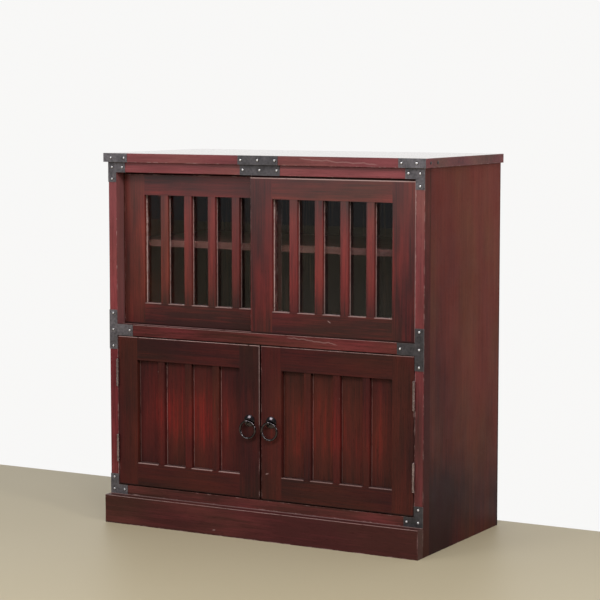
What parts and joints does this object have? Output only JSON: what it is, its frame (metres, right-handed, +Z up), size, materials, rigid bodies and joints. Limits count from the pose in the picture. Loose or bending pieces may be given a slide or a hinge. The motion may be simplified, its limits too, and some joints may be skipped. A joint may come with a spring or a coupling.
{
  "type": "mizuya kitchen cabinet",
  "caption": "Low mizuya kitchen cabinet: barred glass sliding doors over panelled hinged doors with ring pulls, in a post and rail case with nailed iron corner plates.",
  "frame": {"origin": "on the floor at the middle of the footprint, plinth included", "axes": "+Z up, the front faces -Y, the cabinet's left side as seen from the front is -X"},
  "size_m": [0.7702, 0.39, 0.8],
  "materials": {
    "case_wood": "satin red-brown lacquer",
    "sliding_door_wood": "satin red-brown lacquer",
    "hinged_door_wood": "satin dark red-brown lacquer",
    "inner_wood": "thin brown stain",
    "back_board": "thin brown stain on plywood",
    "glass": "clear",
    "black_iron": "black lacquered sheet iron",
    "nail_iron": "burnished domed heads",
    "pull_iron": "glossy black iron",
    "hinge_steel": "dull steel",
    "catch_body": "brown"
  },
  "bodies": {
    "case": {"top_board": "case_wood", "left_front_post": "case_wood", "right_front_post": "case_wood", "left_side_board": "case_wood", "right_side_board": "case_wood", "head_rail": "case_wood", "sill_rail": "case_wood", "bottom_rail": "case_wood", "middle_deck": "inner_wood", "bottom_board": "inner_wood", "plinth_board": "case_wood", "plinth_bearer": "inner_wood", "rear_bearer": "inner_wood", "rear_top_rail": "inner_wood", "back_panel": "back_board", "upper_shelf": "inner_wood", "lower_shelf": "inner_wood", "shelf_pins": "hinge_steel", "top_board_plates": "black_iron", "head_rail_plates": "black_iron", "tee_plates": "black_iron", "base_corner_plates": "black_iron", "plate_nails": "nail_iron", "frame_hinge_leaves": "hinge_steel", "hinge_pins": "hinge_steel", "door_catches": "catch_body"},
    "left_sliding_door": {"left_slider_left_stile": "sliding_door_wood", "left_slider_right_stile": "sliding_door_wood", "left_slider_bottom_rail": "sliding_door_wood", "left_slider_top_rail": "sliding_door_wood", "left_slider_lattice": "sliding_door_wood", "left_slider_glass": "glass", "left_slider_glass_beads": "sliding_door_wood"},
    "right_sliding_door": {"right_slider_left_stile": "sliding_door_wood", "right_slider_right_stile": "sliding_door_wood", "right_slider_bottom_rail": "sliding_door_wood", "right_slider_top_rail": "sliding_door_wood", "right_slider_lattice": "sliding_door_wood", "right_slider_glass": "glass", "right_slider_glass_beads": "sliding_door_wood"},
    "left_hinged_door": {"left_door_hinge_stile": "hinged_door_wood", "left_door_meeting_stile": "hinged_door_wood", "left_door_bottom_rail": "hinged_door_wood", "left_door_top_rail": "hinged_door_wood", "left_door_muntins": "hinged_door_wood", "left_door_panel": "hinged_door_wood", "left_door_hinge_leaves": "hinge_steel", "left_door_strike_plate": "hinge_steel", "left_pull_rosette_and_eye": "pull_iron"},
    "left_ring": {"left_pull_ring": "pull_iron"},
    "right_hinged_door": {"right_door_hinge_stile": "hinged_door_wood", "right_door_meeting_stile": "hinged_door_wood", "right_door_bottom_rail": "hinged_door_wood", "right_door_top_rail": "hinged_door_wood", "right_door_muntins": "hinged_door_wood", "right_door_panel": "hinged_door_wood", "right_door_hinge_leaves": "hinge_steel", "right_door_strike_plate": "hinge_steel", "right_pull_rosette_and_eye": "pull_iron"},
    "right_ring": {"right_pull_ring": "pull_iron"}
  },
  "joints": [
    {"name": "left_sliding_door_slide", "type": "slide", "parent": "case", "child": "left_sliding_door", "axis": [1, 0, 0], "range_m": [0, 0.3295]},
    {"name": "right_sliding_door_slide", "type": "slide", "parent": "case", "child": "right_sliding_door", "axis": [-1, 0, 0], "range_m": [0, 0.3295]},
    {"name": "left_door_hinge", "type": "hinge", "parent": "case", "child": "left_hinged_door", "pos_m": [-0.3566, -0.1741, 0.2445], "axis": [0, 0, -1], "range_deg": [0, 170]},
    {"name": "left_ring_swing", "type": "hinge", "parent": "left_hinged_door", "child": "left_ring", "pos_m": [-0.02625, -0.1795, 0.247], "axis": [-1, 0, 0], "range_deg": [-7, 165]},
    {"name": "right_door_hinge", "type": "hinge", "parent": "case", "child": "right_hinged_door", "pos_m": [0.3566, -0.1741, 0.2445], "axis": [0, 0, 1], "range_deg": [0, 170]},
    {"name": "right_ring_swing", "type": "hinge", "parent": "right_hinged_door", "child": "right_ring", "pos_m": [0.02625, -0.1795, 0.247], "axis": [-1, 0, 0], "range_deg": [-7, 165]}
  ]
}
